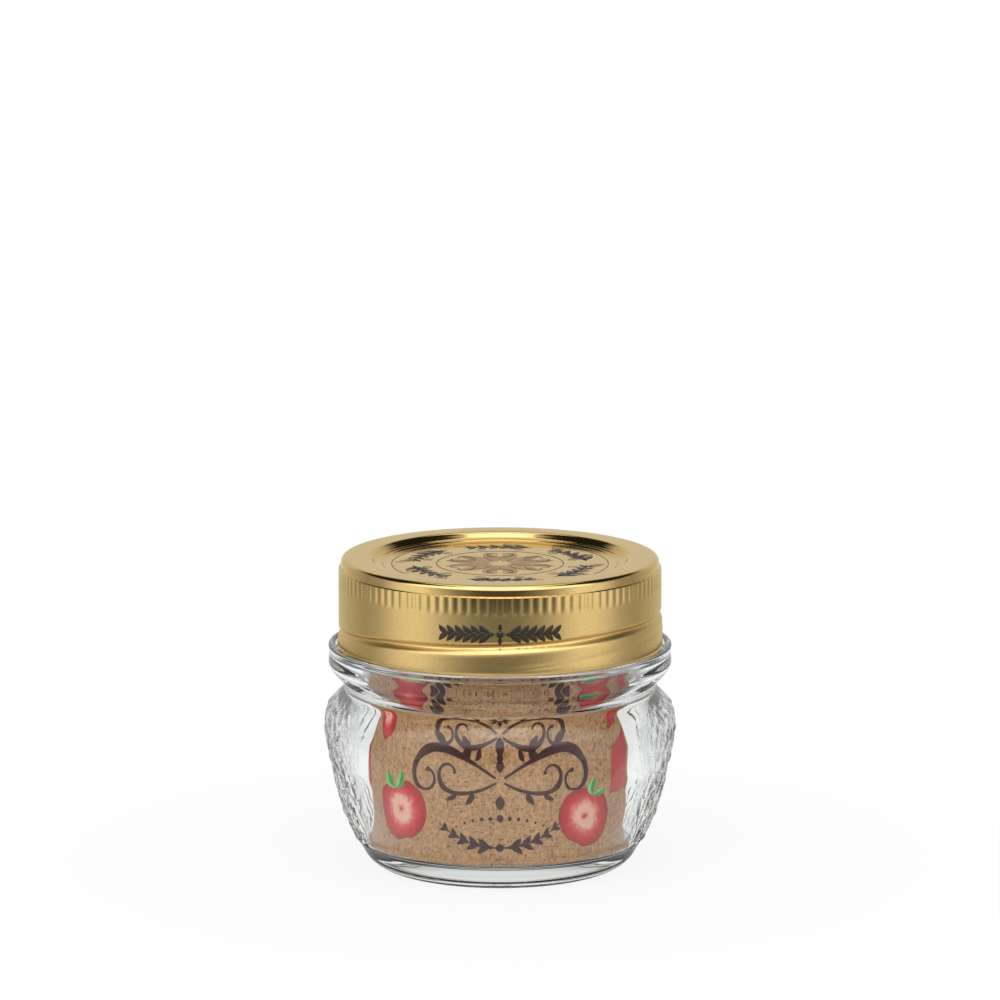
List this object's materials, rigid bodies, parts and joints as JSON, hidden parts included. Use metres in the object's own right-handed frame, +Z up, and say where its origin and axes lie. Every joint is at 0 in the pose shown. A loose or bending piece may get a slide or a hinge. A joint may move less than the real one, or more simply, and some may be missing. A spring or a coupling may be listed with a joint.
{
  "type": "glass canning jar",
  "caption": "Squat clear glass canning jar with a round belly raised in relief on both sides, a lip round the edge of the gold screw lid and a rolled paper leaflet inside.",
  "frame": {"origin": "on the jar's axis, at the plane the foot ring stands on", "axes": "+Z up along the jar's axis through the lid, -Y towards the front face of the jar, +X to its right seen from the front"},
  "size_m": [0.0792, 0.0792, 0.0712],
  "materials": {
    "glass": "clear pressed soda-lime glass, smooth front and back, embossed relief on both sides",
    "gold_lacquer": "gold-lacquered tinplate, satin skirt and glossy top bead",
    "sealing_compound": "off-white moulded sealing compound",
    "kraft_paper": "uncoated speckled kraft paper with printed ornament"
  },
  "bodies": {
    "root": {"jar": "glass", "lid": "gold_lacquer", "seal": "sealing_compound", "leaflet": "kraft_paper"}
  },
  "joints": []
}
